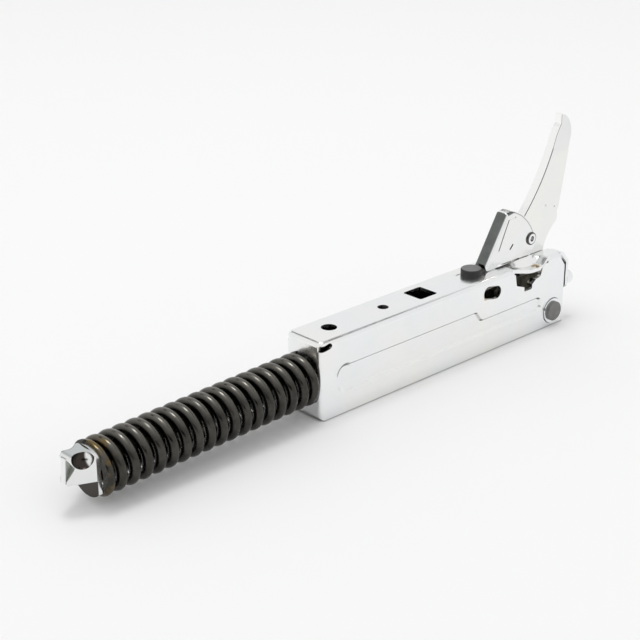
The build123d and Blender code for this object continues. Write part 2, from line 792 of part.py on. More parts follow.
def spring_cap():
    """Cap that the rod's head pulls on: flange, wedge-shaped body, hollows and a notched nose."""
    axis_z = spring_line(cap_flange_x)
    middle = axis_z + cap_body_above_axis
    low = middle - cap_body_height / 2
    plan = make_face(Polyline(
        (cap_face_x, -cap_side_half),
        (cap_face_x, cap_side_half),
        (cap_nose_x, cap_nose_half_width),
        (cap_nose_x, -cap_nose_half_width),
        close=True,
    ))
    body = Pos(0, 0, low) * extrude(plan, amount=cap_body_height)
    nose_edge = body.edges().group_by(Axis.X)[0].group_by(Axis.Z)[-1]
    body = fillet(nose_edge, cap_nose_round)
    body &= rod_along_x(0, axis_z, 2 * (cap_flange_radius + cap_crown), cap_nose_x, cap_face_x)
    cap = cap_flange() + body
    apex_x = cap_nose_x + cap_notch_depth
    apex_z = middle + cap_notch_rise
    past = 1.3
    notch = flat([
        (apex_x, apex_z),
        (apex_x - past * cap_notch_depth, apex_z + past * cap_notch_up),
        (apex_x - past * cap_notch_depth, apex_z - past * cap_notch_down),
    ])
    cap -= plate(notch, -half_width, half_width)
    cap -= both_sides(cap_scoop())
    head_half = rod_thickness / 2 + cap_head_play
    head_top = rod_line((rod_head_left_x + rod_head_right_x) / 2) + rod_head_height / 2 + cap_head_play
    cap -= block(cap_nose_x - 1, rod_head_right_x, -head_half, head_half, low - 1, head_top)
    slot_half = rod_thickness / 2 + cap_slot_play
    slot_low = rod_line(rod_head_right_x) - rod_height / 2 - cap_slot_play
    slot_high = rod_line(cap_flange_x) + rod_height / 2 + cap_slot_play
    return cap - block(rod_head_right_x - 1, cap_flange_x + 1, -slot_half, slot_half, slot_low, slot_high)


def spring_point(turn):
    """Point on the wire's middle line after a number of turns from the channel end."""
    first = spring_right_x - spring_wire / 2 + spring_ground
    last = spring_left_x + spring_wire / 2 - spring_ground
    body_pitch = (first - last - 2 * spring_end_pitch) / (spring_turns - 2)
    run = spring_end_pitch * min(turn, 1)
    run += body_pitch * min(max(turn - 1, 0), spring_turns - 2)
    run += spring_end_pitch * max(turn - spring_turns + 1, 0)
    x = first - run
    angle = math.radians(spring_start_angle) - 2 * math.pi * turn
    return Vector(x, spring_radius * math.cos(angle), spring_line(x) + spring_radius * math.sin(angle))


def spring_tangent(turn):
    """Direction of the wire after a number of turns."""
    step = 0.001
    return (spring_point(turn + step) - spring_point(turn - step)).normalized()


def biarc(start, start_dir, end, end_dir):
    """Two arcs that join two points and keep both directions."""
    chord = end - start
    a = 2 * (start_dir.dot(end_dir) - 1)
    b = -2 * chord.dot(start_dir + end_dir)
    c = chord.dot(chord)
    reach = (-b - math.sqrt(b * b - 4 * a * c)) / (2 * a)
    first = start + start_dir * reach
    second = end - end_dir * reach
    middle = (first + second) * 0.5
    return [
        Edge.make_tangent_arc(start, start_dir, middle),
        Edge.make_tangent_arc(middle, second - first, end),
    ]


def spring_gap():
    """Least gap between one turn of the wire and the next, measured on points."""
    per_turn = 36
    count = int(spring_turns * per_turn) + 1
    points = [spring_point(i / per_turn) for i in range(count)]
    least = None
    for i in range(count):
        for j in range(i + per_turn // 2, min(count, i + 2 * per_turn)):
            gap = (points[i] - points[j]).length - spring_wire
            if least is None or gap < least:
                least = gap
    return least


def spring():
    """One unbroken coil of round wire with flat ground ends."""
    steps = round(spring_turns * 4)
    edges = []
    for i in range(steps):
        t_from = spring_turns * i / steps
        t_to = spring_turns * (i + 1) / steps
        edges += biarc(spring_point(t_from), spring_tangent(t_from), spring_point(t_to), spring_tangent(t_to))
    path = Wire(edges)
    start_plane = Plane(origin=spring_point(0), z_dir=spring_tangent(0))
    coil = sweep(start_plane * Circle(spring_wire / 2), path=path)
    reach = 2 * spring_outer_diameter
    coil -= block(spring_right_x, spring_right_x + spring_wire, -reach, reach, -reach, reach)
    coil -= block(spring_left_x - spring_wire, spring_left_x, -reach, reach, -reach, reach)
    return coil


def latch_point(across, up):
    """Place on the latch, in hundredths of its length from its pivot."""
    return (latch_pivot_x + across * latch_length / 100, latch_pivot_z + up * latch_length / 100)


def latch_groove():
    """Bent line pressed into the near ear."""
    places = [
        latch_point(-72.9, -1.5),
        latch_point(-61.9, 22.3),
        latch_point(-52.1, 42.0),
        latch_point(-37.8, 42.0),
    ]
    groove = None
    for (x_from, z_from), (x_to, z_to) in zip(places, places[1:]):
        length = math.hypot(x_to - x_from, z_to - z_from)
        turn = math.degrees(math.atan2(z_to - z_from, x_to - x_from))
        middle = Pos((x_from + x_to) / 2, (z_from + z_to) / 2)
        face = Plane.XZ * middle * Rot(0, 0, turn) * SlotCenterToCenter(length, latch_groove_width)
        stroke = plate(face, -latch_half_width - 1, -latch_half_width + latch_groove_depth)
        groove = stroke if groove is None else groove + stroke
    return groove


def latch():
    """Folded latch: two ears beside the arm, joined by a back."""
    rim_top = latch_point(-56.55, 51.49)
    back_low = latch_point(-100, -17.26)
    foot_z = channel_height + latch_lift
    foot = (back_low[0], foot_z)
    toe = (back_low[0] + latch_toe, foot_z)
    arch_left = (toe[0] + latch_arch, foot_z + latch_arch)
    heel = (latch_point(-1.19, 0)[0], foot_z)
    arch_right = (heel[0] - 3 * latch_arch, foot_z + latch_arch)
    chin = latch_point(7.14, -14.88)
    front = latch_point(12.20, -8.04)
    brow = latch_point(0.60, 19.05)
    bulge = latch_point(-15.48, 36.90)
    crown = latch_point(-32.74, 48.21)
    peak = latch_point(-46.4, 52.7)
    ear = make_face(Plane.XZ * (
        Polyline(
            crown, peak, rim_top, back_low, foot, toe, arch_left, arch_right, heel, chin, front, brow
        )
        + ThreePointArc(brow, bulge, crown)
    ))
    ear = round_corners(ear, [foot, chin, rim_top], latch_corner)
    ear = round_corners(ear, [toe, arch_left, heel], latch_corner / 2)
    ear = round_corners(ear, [front], 2 * latch_corner)
    body = plate(ear, -latch_half_width, latch_half_width)
    lean = math.atan2(rim_top[1] - back_low[1], rim_top[0] - back_low[0])
    inward_x = latch_sheet * math.sin(lean)
    inward_z = -latch_sheet * math.cos(lean)
    far = 2 * latch_length
    inside = flat([
        (back_low[0] + inward_x - far * math.cos(lean), back_low[1] + inward_z - far * math.sin(lean)),
        (back_low[0] + far, back_low[1] - far),
        (back_low[0] + far, rim_top[1] + far),
        (rim_top[0] + inward_x + far * math.cos(lean), rim_top[1] + inward_z + far * math.sin(lean)),
    ])
    body -= plate(inside, -latch_inner_y, latch_inner_y)
    slope_edges = []
    for edge in body.edges().filter_by(GeomType.LINE):
        middle = edge.center()
        along = edge % 0.5
        off = abs(along.X * math.sin(lean) - along.Z * math.cos(lean))
        side = (middle.X - back_low[0]) * math.sin(lean) - (middle.Z - back_low[1]) * math.cos(lean)
        if off < 0.01 and abs(side) < 0.01 and abs(abs(middle.Y) - latch_half_width) < 0.01:
            slope_edges.append(edge)
    body = fillet(slope_edges, latch_bend)
    hole = latch_rivet_diameter + 2 * latch_running_gap
    body -= rod_along_y(latch_pivot_x, latch_pivot_z, hole, -half_width, half_width)
    body -= both_sides(latch_groove())
    mark_x, mark_z = latch_point(-44.5, -2.2)
    mark = Box(latch_mark_length, 4 * latch_half_width, latch_mark_width)
    return body - Pos(mark_x, 0, mark_z) * Rot(0, -latch_mark_slant, 0) * mark


def latch_rivet():
    """Tubular rivet with a rolled head at both ends."""
    head_y = latch_half_width + side_gap
    end_y = head_y + latch_rivet_head_height
    rivet = rod_along_y(latch_pivot_x, latch_pivot_z, latch_rivet_diameter, -end_y, end_y)
    for side in (-1, 1):
        near = side * head_y
        far = side * end_y
        head = rod_along_y(
            latch_pivot_x, latch_pivot_z, latch_rivet_head_diameter, min(near, far), max(near, far)
        )
        rim = head.edges().filter_by(GeomType.CIRCLE).sort_by(Axis.Y)[0 if side < 0 else -1]
        rivet += fillet(rim, latch_rivet_head_height * 0.8)
    return rivet - rod_along_y(latch_pivot_x, latch_pivot_z, latch_rivet_bore, -half_width, half_width)


pieces = {
    "housing": housing(),
    "end_nut": end_nut(),
    "rubber_bumper": rubber_bumper(),
    "pivot_pin": pivot_pin(),
    "pivot_washer_near": pivot_washer(-1),
    "pivot_washer_far": pivot_washer(1),
    "pivot_spacer_near": pivot_spacer(-1),
    "pivot_spacer_far": pivot_spacer(1),
    "hook_arm": hook_arm(),
    "arm_bush": arm_bush(),
    "drive_pin": drive_pin(),
    "latch": latch(),
    "latch_rivet": latch_rivet(),
    "fork_plate_near": fork_plate(-1),
    "fork_plate_far": fork_plate(1),
    "fork_rivets": fork_rivets(),
    "fork_spacers": fork_spacers(),
    "pull_rod": pull_rod(),
    "spring_cap": spring_cap(),
    "spring": spring(),
}

boxes = [piece.bounding_box() for piece in pieces.values()]
origin_x = (min(box.min.X for box in boxes) + max(box.max.X for box in boxes)) / 2

os.makedirs("parts", exist_ok=True)
for name, piece in pieces.items():
    solid = piece.moved(Pos(-origin_x, 0, 0))
    solid.label = name
    export_step(solid, "parts/" + name + ".step")
    box = solid.bounding_box()
    print(name, len(solid.solids()), "solid(s), volume", round(solid.volume, 1), "valid", solid.is_valid)
    print("   from", [round(v, 2) for v in box.min], "to", [round(v, 2) for v in box.max])

print("origin at", round(origin_x, 4), "mm from the channel's end face")
print("rod travel", round(rod_travel, 3), "mm, per radian", round(rod_travel / math.radians(open_angle), 4))
print("drive pin", round(drive_x, 3), round(drive_z, 3), "to", round(drive_open_x, 3), round(drive_open_z, 3))
print("least gap between spring turns", round(spring_gap(), 3), "mm")
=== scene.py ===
# %% [markdown]
# # The looks of an oven door hinge
# The hinge is a channel of zinc-plated sheet steel. A black coil spring on a flat rod stands out of its
# closed end, and a hook arm with a folded latch rises from a slot near its other end. The CAD frame already
# holds every piece in its place, so this script adds what CAD doesn't give: a coil made by a rule, the
# finishes, the light and the camera.

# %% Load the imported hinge
import math

import bpy
from mathutils import Matrix, Vector


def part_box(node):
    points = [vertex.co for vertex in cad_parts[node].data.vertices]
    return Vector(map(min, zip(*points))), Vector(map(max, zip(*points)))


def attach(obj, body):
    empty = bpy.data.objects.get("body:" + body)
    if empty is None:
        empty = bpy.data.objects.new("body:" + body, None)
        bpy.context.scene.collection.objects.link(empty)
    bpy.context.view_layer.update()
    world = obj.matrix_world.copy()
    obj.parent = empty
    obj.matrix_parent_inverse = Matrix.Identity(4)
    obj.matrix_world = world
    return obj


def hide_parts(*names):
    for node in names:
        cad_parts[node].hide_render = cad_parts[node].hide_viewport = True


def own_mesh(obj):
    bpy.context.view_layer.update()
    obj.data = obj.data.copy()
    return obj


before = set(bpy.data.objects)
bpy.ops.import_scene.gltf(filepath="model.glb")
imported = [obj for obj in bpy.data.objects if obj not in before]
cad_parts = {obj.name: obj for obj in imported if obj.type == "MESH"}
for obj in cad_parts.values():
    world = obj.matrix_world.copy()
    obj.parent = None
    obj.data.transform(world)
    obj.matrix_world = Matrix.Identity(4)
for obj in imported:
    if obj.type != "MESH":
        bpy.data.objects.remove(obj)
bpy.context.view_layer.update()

closed_end_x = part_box("housing")[0][0]
MM = 0.001
print("hinge loaded,", len(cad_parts), "nodes, closed end at x =", round(closed_end_x, 5), "m")

# %% [markdown]
# ## One way to give places
# The real hinge is measured from the closed end of its channel, as a workshop drawing would do it. The frame's
# origin is elsewhere, so one small function turns "millimetres from the closed end" into a place in the frame.
# The two axles that several finishes are centred on are named here once.

# %% Places in millimetres from the closed end
def place(x, y, z):
    """Place in the frame, from millimetres along, across and above the channel's closed end."""
    return Vector((closed_end_x + x * MM, y * MM, z * MM))


def along(x):
    """The frame's X of a distance from the closed end, in millimetres."""
    return place(x, 0, 0).x


PIVOT = place(162.0, 0, 8.1)
LATCH_AXLE = place(152.0, 0, 47.3)
print("pivot pin at", [round(v, 4) for v in PIVOT], "latch rivet at", [round(v, 4) for v in LATCH_AXLE])

# %% [markdown]
# ## Camera
# The photo was taken from the left front, looking down by about 23 degrees with a long lens. A camera can be
# aimed by eye, but here its direction, place and lens were fitted to straight edges and holes, so that the
# model falls on the picture. A long lens is why the channel's edges hardly run together.

# %% Camera at the photo's angle
def add_camera(stand, yaw, pitch, roll, focal_pixels, image_pixels=640, sensor=36):
    """Camera that looks along yaw and down by pitch, with a lens given in picture pixels."""
    yaw, pitch, roll = math.radians(yaw), math.radians(pitch), math.radians(roll)
    level_right = Vector((math.sin(yaw), -math.cos(yaw), 0))
    ahead = Vector((math.cos(yaw) * math.cos(pitch), math.sin(yaw) * math.cos(pitch), -math.sin(pitch)))
    level_up = level_right.cross(ahead)
    right = level_right * math.cos(roll) + level_up * math.sin(roll)
    up = level_up * math.cos(roll) - level_right * math.sin(roll)
    turn = Matrix((right, up, -ahead)).transposed().to_4x4()
    turn.translation = stand
    camera = bpy.data.objects.new("photo_camera", bpy.data.cameras.new("photo_camera"))
    camera.matrix_world = turn
    camera.data.sensor_width = sensor
    camera.data.lens = focal_pixels * sensor / image_pixels
    camera.data.clip_start = 0.01
    bpy.context.scene.collection.objects.link(camera)
    bpy.context.scene.camera = camera
    return camera


stand = place(-423.06, -458.90, 306.65)
photo_camera = add_camera(stand, yaw=46.627, pitch=22.659, roll=-0.248, focal_pixels=1541.76)
print("lens", round(photo_camera.data.lens, 1), "mm")

# %% [markdown]
# ## Writing finishes as small node trees
# Each finish below is a node tree made of the same few ideas: a noise that is stretched or not, a ramp that
# sets how strong it is, and a mix of two colours. The nodes could be placed by hand in the shader editor.
# Short methods build them instead, because all the finishes share the same steps. They read the object's own
# coordinates, so a finish stays on the piece when it moves.

# %% A finish and its basic nodes
class Finish:
    """A node material for one finish, with short names for the nodes that the hinge needs."""

    def __init__(self, name, metal=1.0):
        self.material = bpy.data.materials.new(name)
        self.material.use_nodes = True
        self.tree = self.material.node_tree
        self.shader = self.tree.nodes["Principled BSDF"]
        self.shader.inputs["Metallic"].default_value = metal
        self.coords = self.tree.nodes.new("ShaderNodeTexCoord")
        self.x, self.y, self.z = self.split("Object")

    def split(self, kind):
        """The three parts of one of the Texture Coordinate node's outputs."""
        node = self.tree.nodes.new("ShaderNodeSeparateXYZ")
        self.tree.links.new(self.coords.outputs[kind], node.inputs[0])
        return node.outputs

    def put(self, socket, value):
        """Give a socket a link or a plain value."""
        if isinstance(value, bpy.types.NodeSocket):
            self.tree.links.new(value, socket)
        elif isinstance(value, (tuple, list)) and len(value) == 3 and socket.type == "RGBA":
            socket.default_value = (*value, 1)
        else:
            socket.default_value = value

    def calc(self, operation, a, b=0.0, clamp=False):
        """One sum of two numbers or sockets."""
        node = self.tree.nodes.new("ShaderNodeMath")
        node.operation = operation
        node.use_clamp = clamp
        self.put(node.inputs[0], a)
        self.put(node.inputs[1], b)
        return node.outputs[0]

    def noise(self, scale, detail=3.0, stretch=(1, 1, 1), rough=0.5):
        """Noise of about `scale` patches a metre."""
        mapping = self.tree.nodes.new("ShaderNodeMapping")
        mapping.inputs["Scale"].default_value = stretch
        self.tree.links.new(self.coords.outputs["Object"], mapping.inputs["Vector"])
        node = self.tree.nodes.new("ShaderNodeTexNoise")
        node.inputs["Scale"].default_value = scale
        node.inputs["Detail"].default_value = detail
        node.inputs["Roughness"].default_value = rough
        self.tree.links.new(mapping.outputs[0], node.inputs["Vector"])
        return node.outputs["Fac"]

    def between(self, value, low, high, to_low=0.0, to_high=1.0):
        """Stretch a value range onto another one, without going past its ends."""
        node = self.tree.nodes.new("ShaderNodeMapRange")
        node.interpolation_type = "SMOOTHSTEP"
        for number, part in enumerate((value, low, high, to_low, to_high)):
            self.put(node.inputs[number], part)
        return node.outputs[0]

    def mix(self, share, a, b):
        """Colour a where share is 0, colour b where it is 1."""
        node = self.tree.nodes.new("ShaderNodeMix")
        node.data_type = "RGBA"
        self.put(node.inputs[0], share)
        self.put(node.inputs[6], a)
        self.put(node.inputs[7], b)
        return node.outputs[2]

    def bump(self, height, depth):
        """Fine relief for the light only, as deep as depth."""
        node = self.tree.nodes.new("ShaderNodeBump")
        node.inputs["Distance"].default_value = depth
        node.inputs["Strength"].default_value = 0.6
        self.tree.links.new(height, node.inputs["Height"])
        self.tree.links.new(node.outputs[0], self.shader.inputs["Normal"])

    def finish(self, colour, rough, metal=None):
        """Set the colour and the roughness, and hand the material over."""
        self.put(self.shader.inputs["Base Color"], colour)
        self.put(self.shader.inputs["Roughness"], rough)
        if metal is not None:
            self.put(self.shader.inputs["Metallic"], metal)
        return self.material


print("a finish can be mixed from noise, ramps and colours")

# %% [markdown]
# ## Saying where a finish lies
# Grease, dirt and turned rings lie at certain places of the hinge. A painted image could hold them, but it
# would need an unwrapped mesh. Distances are enough here: from a spot for a dab of grease, from an axle for
# rings, from a straight stroke for a line. Each is a sum on the object's own coordinates.

# %% Masks by place and by direction
class PlacedFinish(Finish):
    """A finish that can also tell how far a point lies from spots, axles and strokes."""

    def times(self, *parts):
        """The product of several masks."""
        product = parts[0]
        for part in parts[1:]:
            product = self.calc("MULTIPLY", product, part)
        return product

    def strongest(self, *parts):
        """The largest of several masks."""
        most = parts[0]
        for part in parts[1:]:
            most = self.calc("MAXIMUM", most, part)
        return most

    def length(self, a, b):
        """Length of the long side of a right triangle."""
        return self.calc("SQRT", self.calc("ADD", self.times(a, a), self.times(b, b)))

    def faces(self, axis):
        """How squarely the surface faces along an axis of the piece: 0, 1 or 2 for X, Y or Z."""
        return self.split("Normal")[axis]

    def from_spot(self, spot):
        """Distance from a spot of the frame."""
        node = self.tree.nodes.new("ShaderNodeVectorMath")
        node.operation = "DISTANCE"
        self.put(node.inputs[0], self.coords.outputs["Object"])
        node.inputs[1].default_value = spot
        return node.outputs["Value"]

    def from_axle(self, spot):
        """Distance from a line across the hinge, through a spot of the frame."""
        return self.length(self.calc("SUBTRACT", self.x, spot.x), self.calc("SUBTRACT", self.z, spot.z))

    def near(self, spot, reach, fuzz=1.2 * MM):
        """1 close to a spot of the frame, 0 further off than reach, with an uneven edge."""
        uneven = self.calc("MULTIPLY", self.noise(420, 2), fuzz * 2)
        away = self.calc("ADD", self.from_spot(spot), self.calc("SUBTRACT", uneven, fuzz))
        return self.between(away, reach, reach * 0.45)

    def hollow(self, spot, radius):
        """1 on the wall of a ball-shaped hollow, 0 off it."""
        return self.between(self.from_spot(spot), radius + 0.16 * MM, radius + 0.05 * MM)

    def stroke(self, start, end, half):
        """1 along a straight stroke between two places, as seen from the side."""
        ahead = end - start
        length = math.hypot(ahead.x, ahead.z)
        step_x, step_z = ahead.x / length, ahead.z / length
        off_x = self.calc("SUBTRACT", self.x, start.x)
        off_z = self.calc("SUBTRACT", self.z, start.z)
        run = self.calc("ADD", self.times(off_x, step_x), self.times(off_z, step_z))
        run = self.calc("MINIMUM", self.calc("MAXIMUM", run, 0.0), length)
        miss_x = self.calc("SUBTRACT", off_x, self.times(run, step_x))
        miss_z = self.calc("SUBTRACT", off_z, self.times(run, step_z))
        return self.between(self.length(miss_x, miss_z), half * 1.4, half * 0.6)


def dress(name, material):
    """Give a CAD node its finish: the slot's material changes, the mesh doesn't."""
    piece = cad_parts[name]
    if not piece.material_slots:
        piece.data.materials.append(material)
    for slot in piece.material_slots:
        slot.material = material


print("a finish can be placed by spot, axle, stroke and direction")

# %% [markdown]
# ## Zinc plate
# Bright zinc is nearly white, with a faint blue or yellow cast that changes over a few centimetres, a slightly
# cloudy gloss, and hair scratches along the rolling direction of the sheet. One flat grey would look like
# plastic. So the colour varies by a noise, and the scratches come from a noise stretched along X.

# %% Zinc plate
ZINC_BLUE = (0.875, 0.890, 0.900)
ZINC_WARM = (0.910, 0.905, 0.885)
ZINC_GREEN = (0.80, 0.87, 0.83)
SCRATCH_GREY = (0.66, 0.68, 0.70)
SCRATCH_DEPTH = 0.02 * MM


def zinc_colour(finish):
    """Cloudy zinc colour with hair scratches. Returns the colour, the roughness and the scratches."""
    clouds = finish.between(finish.noise(38, 3), 0.30, 0.70)
    colour = finish.mix(clouds, ZINC_BLUE, ZINC_WARM)
    green = finish.between(finish.noise(110, 3), 0.54, 0.74, 0, 0.30)
    colour = finish.mix(green, colour, ZINC_GREEN)
    grain = finish.noise(60, 4, stretch=(1, 22, 22), rough=0.7)
    scratch = finish.between(grain, 0.62, 0.72, 0, 0.16)
    colour = finish.mix(scratch, colour, SCRATCH_GREY)
    rough = finish.between(finish.noise(160, 3), 0.3, 0.7, 0.17, 0.26)
    return colour, rough, scratch


def plain_zinc():
    """Zinc for the small parts, with nothing on it but its scratches."""
    finish = PlacedFinish("zinc_small_parts")
    colour, rough, scratch = zinc_colour(finish)
    finish.bump(scratch, SCRATCH_DEPTH)
    return finish.finish(colour, rough)


small_zinc = plain_zinc()
small_parts = ("pivot_washer_near", "pivot_washer_far", "pivot_spacer_near", "pivot_spacer_far", "end_nut")
for name in small_parts:
    dress(name, small_zinc)
print("zinc plate on", len(small_parts), "small parts")

# %% [markdown]
# ## Painted shade on the channel
# On the real channel thin dark lines of shade show under the long recess's upper edge, around the pivot's
# washer and along the foot of the wall, with a soft crescent of shadow in the recess's rounded corner. Here
# they are painted shade. The recess itself is in the CAD mesh. The painted shade is colour alone, so it is
# mixed in by height, distance and the way that the surface faces.

# %% Where shade is painted on the channel
RECESS_CORNER = place(15.6, 0, 18.4)
WALL_FACE = 9.7 * MM
WASHER_EDGE = 6.7 * MM


def recess_painted_shadow(finish):
    """Painted shadow: a soft dark crescent in the recess's upper left rounding."""
    left = finish.calc("SUBTRACT", RECESS_CORNER.x, finish.x)
    up = finish.calc("SUBTRACT", finish.z, RECESS_CORNER.z)
    away = finish.from_axle(RECESS_CORNER)
    inner = finish.between(away, 3.9 * MM, 4.8 * MM)
    outer = finish.between(away, 6.2 * MM, 5.7 * MM)
    corner = finish.times(finish.between(left, -4.0 * MM, 0.5 * MM), finish.between(up, 0.0, 2.5 * MM))
    return finish.times(inner, outer, corner, 0.95)


def channel_painted_shade(finish, across):
    """Painted shade under the recess's upper edge, in its corner, around the washer and along the wall's foot.
    """
    on_wall = finish.calc("GREATER_THAN", across, WALL_FACE)
    high = finish.calc("GREATER_THAN", finish.z, 14 * MM)
    low = finish.calc("LESS_THAN", finish.z, 27 * MM)
    overhang = finish.times(finish.between(finish.faces(2), -0.35, -0.6), high, low)
    ring = finish.between(finish.from_axle(PIVOT), WASHER_EDGE + 0.25 * MM, WASHER_EDGE)
    foot = finish.between(finish.z, 0.42 * MM, 0.2 * MM, 0, 0.6)
    # Painted shade: the dark lines and the corner's shadow, on the outside of the wall only.
    shade_lines = finish.strongest(overhang, ring, foot, recess_painted_shadow(finish))
    return finish.times(shade_lines, on_wall)


print("recess corner at", [round(v, 4) for v in RECESS_CORNER])

# %% [markdown]
# ## The channel's finish
# Outside, the channel is bright zinc. Inside it is darkened with painted shade, which is what makes its holes
# read as black.
# Gold-brown grease sits at the buffer, in the sight hole, in the screw seat and by the pivot. The inside needs
# no mesh of its own: a point is inside where it lies behind the wall's inner face and under the web.

# %% Zinc outside, painted shade inside, grease in places
GREASE_GOLD = (0.50, 0.30, 0.05)
INSIDE_PAINTED_SHADE = (0.20, 0.19, 0.16)
PAINTED_SHADE_GREY = (0.13, 0.14, 0.13)
WALL_INSIDE = 9.82 * MM
WEB_UNDERSIDE = 36.25 * MM
grease_dabs = (
    (place(117.2, 2.4, 38.0), 3.4 * MM),
    (place(110.2, -11.0, 30.2), 2.6 * MM),
    (place(150.2, -8.7, 34.0), 2.6 * MM),
    (place(149.6, 11.5, 3.6), 1.6 * MM),
)


def inside_channel(finish, across):
    """1 inside the channel, but not on the dished screw seat or on the closed end's outer face."""
    behind_wall = finish.calc("LESS_THAN", across, WALL_INSIDE)
    under_web = finish.calc("LESS_THAN", finish.z, WEB_UNDERSIDE)
    seat_left = finish.calc("GREATER_THAN", finish.x, along(130.5))
    seat_high = finish.calc("GREATER_THAN", finish.z, 32.6 * MM)
    within = finish.times(behind_wall, under_web)
    within = finish.calc("SUBTRACT", within, finish.times(seat_left, seat_high), clamp=True)
    return finish.times(within, finish.calc("GREATER_THAN", finish.x, along(0.9)))


def channel_finish():
    """Zinc outside, painted shade inside and in dark lines, with gold grease."""
    finish = PlacedFinish("zinc_channel")
    colour, rough, scratch = zinc_colour(finish)
    across = finish.calc("ABSOLUTE", finish.y)
    # Painted shade on the inside of the channel.
    colour = finish.mix(inside_channel(finish, across), colour, INSIDE_PAINTED_SHADE)
    # Painted shade lines and shadow on the channel's outside.
    colour = finish.mix(channel_painted_shade(finish, across), colour, PAINTED_SHADE_GREY)
    grease = finish.strongest(*(finish.near(spot, reach) for spot, reach in grease_dabs))
    colour = finish.mix(grease, colour, GREASE_GOLD)
    metal = finish.calc("SUBTRACT", 1.0, finish.times(grease, 0.8))
    finish.bump(scratch, SCRATCH_DEPTH)
    return finish.finish(colour, rough, metal)


dress("housing", channel_finish())
print("channel finished, with", len(grease_dabs), "dabs of grease")

# %% [markdown]
# ## The stamped arm
# The arm is stamped from thick plate. Its cut back edge is brighter than its faces, a thin dark line of
# painted shade runs along that edge at its burr on the near side, and the faces are greyer towards the tip. A
# bevelled edge could catch such a line of shade, but a CAD mesh is left as it is, so the painted shade is
# mixed in where the edge meets the near face.

# %% Arm
ARM_WARM = (0.86, 0.85, 0.79)
ARM_TIP_GREY = (0.70, 0.72, 0.74)
CUT_EDGE_WHITE = (0.97, 0.97, 0.96)
BURR_PAINTED_SHADE = (0.08, 0.08, 0.075)


def arm_finish():
    """Cloudy faces, a bright cut edge and a painted shade line along it."""
    finish = PlacedFinish("zinc_stamped_arm")
    colour, rough, _ = zinc_colour(finish)
    near_tip = finish.between(finish.z, 84 * MM, 92 * MM)
    face = finish.between(finish.calc("ABSOLUTE", finish.faces(1)), 0.6, 0.9)
    tone = finish.mix(near_tip, ARM_WARM, ARM_TIP_GREY)
    colour = finish.mix(finish.times(face, 0.35), colour, tone)
    edge = finish.between(finish.faces(0), -0.5, -0.7)
    colour = finish.mix(edge, colour, CUT_EDGE_WHITE)
    # Painted shade: a thin dark line along the cut edge's near side.
    burr_shade_line = finish.times(edge, finish.between(finish.y, -1.9 * MM, -2.15 * MM))
    colour = finish.mix(burr_shade_line, colour, BURR_PAINTED_SHADE)
    finish.bump(finish.noise(900, 3), 0.03 * MM)
    return finish.finish(colour, rough)


dress("hook_arm", arm_finish())
print("arm finished")

# %% [markdown]
# ## The folded latch and its rivet
# The latch is thin sheet, folded so that its two ears stand beside the arm. Its back is dull from handling,
# and a grey line of painted shade runs a little inside the ear's rounded rim. Its points are listed a little
# inside the ear's outline, and straight strokes join them. It is colour alone and has no relief. The ear's
# tilted edges carry painted shade too. The rivet is bright inside its rolled rim, with painted shadow around
# it.

# %% Latch and rivet
LATCH_GREY = (0.66, 0.69, 0.69)
LATCH_BACK = ((0.10, 0.11, 0.105), (0.18, 0.19, 0.18))
LATCH_EDGE_PAINTED_SHADE = (0.16, 0.17, 0.17)
RIM_PAINTED_SHADE = (0.36, 0.38, 0.38)
RIM_HALF_WIDTH = 0.26 * MM
RIVET_SHADOW = (0.10, 0.10, 0.10)
ear_rim = [place(x, 0, z) for x, z in (
    (134.6, 64.0), (136.6, 64.3), (138.7, 63.9), (140.8, 62.9), (143.7, 61.3),
    (146.4, 59.1), (149.2, 56.4), (151.6, 53.3), (153.2, 50.4), (154.1, 47.6),
)]


def latch_finish():
    """Light grey ears with a painted shade line by the rim and on tilted edges, and a dull back."""
    finish = PlacedFinish("zinc_latch")
    colour, rough, scratch = zinc_colour(finish)
    back = finish.between(finish.faces(0), -0.55, -0.75)
    dull = finish.mix(finish.noise(260, 3), *LATCH_BACK)
    colour = finish.mix(0.12, colour, LATCH_GREY)
    colour = finish.mix(back, colour, dull)
    sideways = finish.calc("ABSOLUTE", finish.faces(1))
    tilted = finish.times(finish.between(sideways, 0.25, 0.40), finish.between(sideways, 0.97, 0.90))
    off_back = finish.between(finish.faces(0), -0.30, -0.15)
    # Painted shade on the ear's tilted edges.
    colour = finish.mix(finish.times(tilted, off_back), colour, LATCH_EDGE_PAINTED_SHADE)
    strokes = [finish.stroke(start, end, RIM_HALF_WIDTH) for start, end in zip(ear_rim, ear_rim[1:])]
    on_ear = finish.between(sideways, 0.85, 0.95, 0, 0.8)
    # Painted shade: a grey line a little inside the ear's rim.
    colour = finish.mix(finish.times(finish.strongest(*strokes), on_ear), colour, RIM_PAINTED_SHADE)
    finish.bump(scratch, SCRATCH_DEPTH)
    return finish.finish(colour, rough)


def rolled_rivet_finish():
    """Zinc rivet, bright inside its rolled rim and dark around it."""
    finish = PlacedFinish("zinc_rolled_rivet")
    colour, rough, scratch = zinc_colour(finish)
    rim = finish.between(finish.from_axle(LATCH_AXLE), 2.45 * MM, 2.75 * MM)
    colour = finish.mix(rim, colour, RIVET_SHADOW)
    finish.bump(scratch, SCRATCH_DEPTH)
    return finish.finish(colour, rough)


dress("latch", latch_finish())
dress("latch_rivet", rolled_rivet_finish())
print("latch finished, with", len(ear_rim) - 1, "strokes in its rim line")

# %% [markdown]
# ## The pivot pin and the buffer
# The pin's flat head was turned on a lathe and shows fine rings, which a sine of the distance from its middle
# gives as relief. The buffer is black rubber: not a metal, rather rough, and lighter on top, partly from dust
# and partly from a painted sheen of the light from above. Dust settles on what faces up and the sheen lies
# there too, so both are mixed in by the surface's direction.

